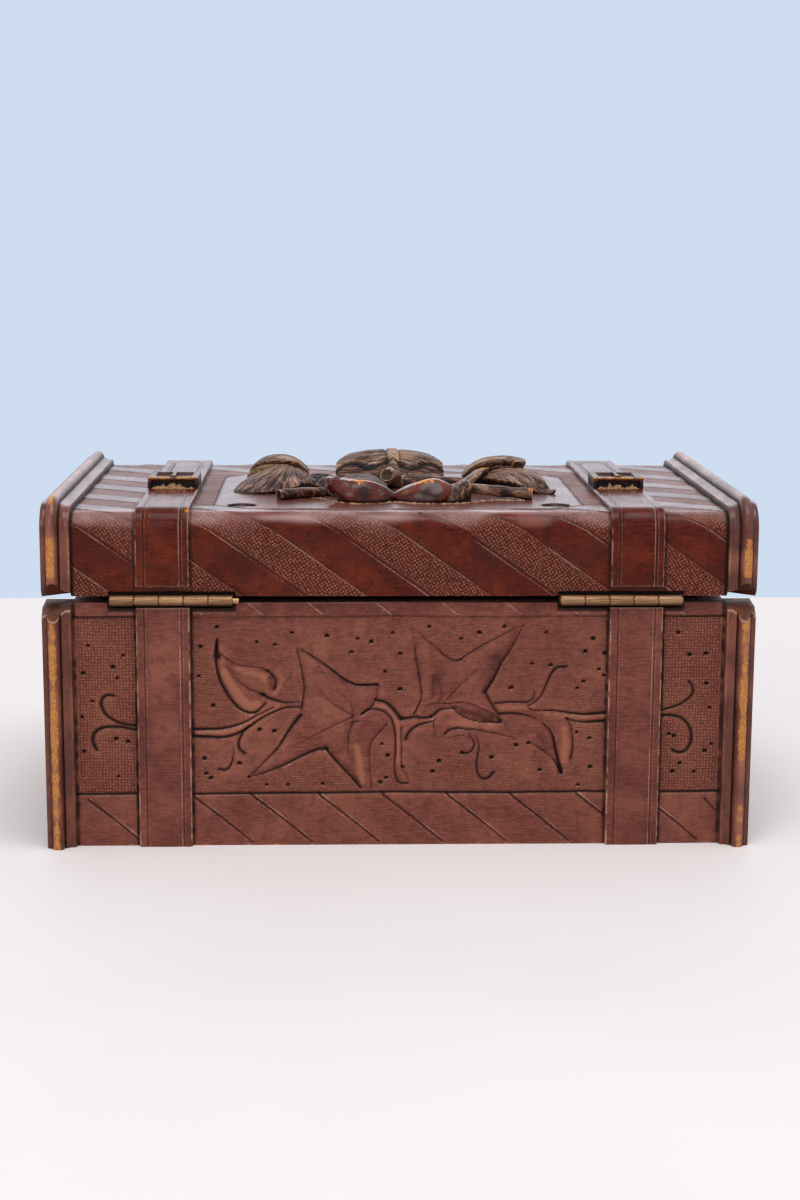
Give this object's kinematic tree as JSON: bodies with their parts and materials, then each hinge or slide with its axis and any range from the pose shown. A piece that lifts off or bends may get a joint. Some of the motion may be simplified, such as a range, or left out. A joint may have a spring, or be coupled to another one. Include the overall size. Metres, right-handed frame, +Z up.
{
  "type": "keepsake box",
  "caption": "Carved wooden keepsake box shaped like a strapped travelling trunk, with a hinged lid carrying applied leaves and nuts.",
  "frame": {"origin": "middle of the base, on the surface that the box stands on", "axes": "+X along the length, to the right when the hinges are seen; +Y towards the opening side, away from the hinges; +Z up"},
  "size_m": [0.233, 0.1486, 0.1224],
  "materials": {
    "case_wood": "stained and waxed, worn",
    "lid_wood": "dark polish, worn at the edges",
    "carving_wood": "dark polish, waxy in the hollows",
    "plug_wood": "dark, unpolished",
    "plain_wood": "bare, aged",
    "hinge_brass": "dull, tarnished",
    "screw_brass": "dull",
    "pad_leather": "matt"
  },
  "bodies": {
    "case": {"back_panel": "case_wood", "base_board": "plain_wood", "case_strap_back_left": "case_wood", "case_strap_back_right": "case_wood", "case_strap_front_left": "case_wood", "case_strap_front_right": "case_wood", "end_panel_left": "case_wood", "end_panel_right": "case_wood", "front_panel": "case_wood", "hinge_case_leaf_left": "hinge_brass", "hinge_case_leaf_right": "hinge_brass", "hinge_case_screws": "screw_brass", "hinge_pin_left": "hinge_brass", "hinge_pin_right": "hinge_brass", "lid_rest_pads": "pad_leather", "post_back_left": "case_wood", "post_back_right": "case_wood", "post_front_left": "case_wood", "post_front_right": "case_wood"},
    "lid": {"buckle_left": "carving_wood", "buckle_prong_left": "carving_wood", "buckle_prong_right": "carving_wood", "buckle_right": "carving_wood", "carving_bud_leaf": "carving_wood", "carving_husk_left": "carving_wood", "carving_husk_right": "carving_wood", "carving_leaf_centre": "carving_wood", "carving_leaf_left": "carving_wood", "carving_leaf_right": "carving_wood", "carving_nut_left": "carving_wood", "carving_nut_right": "carving_wood", "carving_twig_left": "carving_wood", "carving_twig_low": "carving_wood", "carving_twig_right": "carving_wood", "carving_twig_stub": "carving_wood", "hinge_lid_leaf_left": "hinge_brass", "hinge_lid_leaf_right": "hinge_brass", "hinge_lid_screws": "screw_brass", "lid_back_rail": "lid_wood", "lid_board": "lid_wood", "lid_end_left": "lid_wood", "lid_end_right": "lid_wood", "lid_front_rail": "lid_wood", "lid_moulding_left": "lid_wood", "lid_moulding_right": "lid_wood", "lid_plugs": "plug_wood", "lid_strap_left": "lid_wood", "lid_strap_right": "lid_wood"}
  },
  "joints": [
    {"name": "lid_hinge", "type": "hinge", "parent": "case", "child": "lid", "pos_m": [0, -0.071, 0.08315], "axis": [1, 0, 0], "range_deg": [0, 110]}
  ]
}
